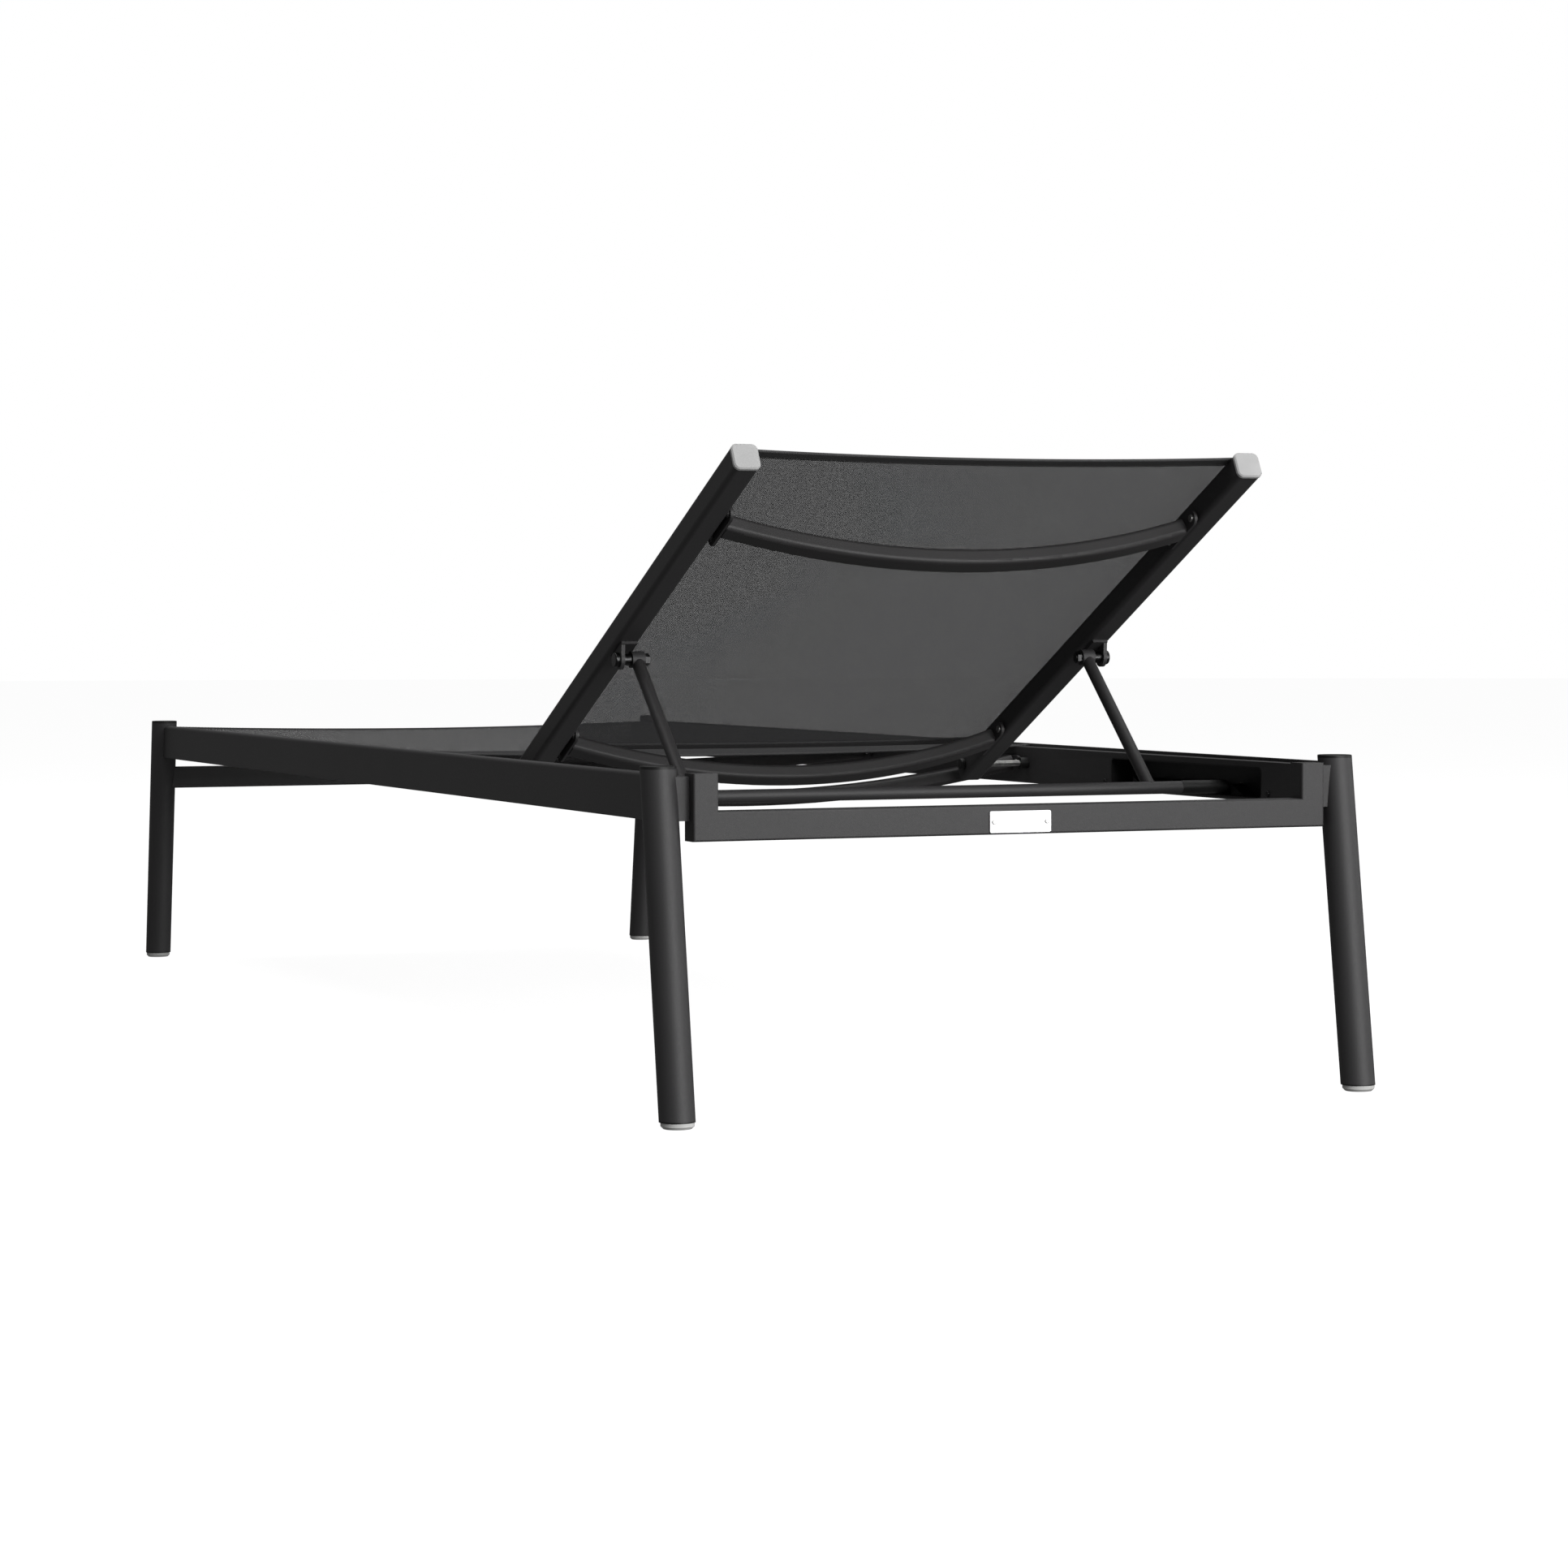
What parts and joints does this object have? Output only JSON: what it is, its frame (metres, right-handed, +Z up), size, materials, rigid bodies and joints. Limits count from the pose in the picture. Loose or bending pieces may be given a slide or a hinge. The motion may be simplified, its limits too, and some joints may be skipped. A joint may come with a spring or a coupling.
{
  "type": "reclining sun lounger",
  "caption": "Low garden lounger with a powder-coated tube frame, mesh slings, a tilting backrest and a prop that rests in toothed rail tracks",
  "frame": {"origin": "on the ground, at the centre of the four feet", "axes": "X runs across with the user's left at +X when lying face up with the head at +Y, Y runs along the length with the head end at +Y, Z is up"},
  "size_m": [0.754, 2.0386, 0.6282],
  "materials": {
    "powder_coat": "fine-textured charcoal powder coat, satin",
    "black_plastic": "moulded black plastic, matt",
    "grey_plastic": "moulded light grey plastic, matt",
    "cap_plastic": "silver-grey moulded plastic, satin",
    "steel": "bright zinc-plated steel",
    "dark_steel": "steel with a black zinc plating",
    "plate_metal": "plain anodised aluminium, matt",
    "sling_mesh": "woven PVC-coated polyester mesh, charcoal",
    "keder_cord": "plain black plastic cord"
  },
  "bodies": {
    "frame": {"side_rail_left": "powder_coat", "side_rail_right": "powder_coat", "leg_head_left": "powder_coat", "leg_head_right": "powder_coat", "leg_foot_left": "powder_coat", "leg_foot_right": "powder_coat", "rail_end_caps": "powder_coat", "leg_caps": "black_plastic", "leg_gaskets": "black_plastic", "foot_glide_head_left": "grey_plastic", "foot_glide_head_right": "grey_plastic", "foot_glide_foot_left": "grey_plastic", "foot_glide_foot_right": "grey_plastic", "recline_track_left": "black_plastic", "recline_track_right": "black_plastic", "track_screws": "dark_steel", "head_crossbar": "powder_coat", "head_upright_left": "powder_coat", "head_upright_right": "powder_coat", "foot_crossbar": "powder_coat", "name_plate": "plate_metal", "name_plate_rivets": "steel", "seat_bow_foot": "powder_coat", "seat_bow_mid": "powder_coat", "seat_bow_rear": "powder_coat", "seat_bow_flanges": "powder_coat", "seat_bow_screws": "steel", "seat_sling": "sling_mesh", "seat_keder_left": "keder_cord", "seat_keder_right": "keder_cord", "hinge_bolt_left": "steel", "hinge_bolt_right": "steel", "hinge_bush_left": "black_plastic", "hinge_bush_right": "black_plastic", "hinge_covers": "black_plastic", "hinge_nuts": "steel"},
    "backrest": {"back_rail_left": "powder_coat", "back_rail_right": "powder_coat", "back_end_plug_left": "black_plastic", "back_end_plug_right": "black_plastic", "back_top_cap_left": "cap_plastic", "back_top_cap_right": "cap_plastic", "back_keder_left": "keder_cord", "back_keder_right": "keder_cord", "back_bow_lower": "powder_coat", "back_bow_upper": "powder_coat", "back_bow_flanges": "powder_coat", "back_bow_screws": "steel", "back_sling": "sling_mesh", "prop_ear_left": "powder_coat", "prop_ear_right": "powder_coat", "prop_bolt_left": "dark_steel", "prop_bolt_right": "dark_steel", "prop_spacers": "dark_steel", "prop_nuts": "dark_steel"},
    "prop_frame": {"prop_arm_left": "powder_coat", "prop_arm_right": "powder_coat", "rod_bush_left": "black_plastic", "rod_bush_right": "black_plastic", "prop_rod": "powder_coat"}
  },
  "joints": [
    {"name": "back_recline", "type": "hinge", "parent": "frame", "child": "backrest", "pos_m": [0, 0.322, 0.302], "axis": [1, 0, 0], "range_deg": [-24, 12]},
    {"name": "prop_swing", "type": "hinge", "parent": "backrest", "child": "prop_frame", "pos_m": [0, 0.6218, 0.42487], "axis": [1, 0, 0], "range_deg": [-36, 71]}
  ],
  "couplings": [
    {"joint": "prop_swing", "follows": "back_recline", "ratio": -2.93}
  ]
}
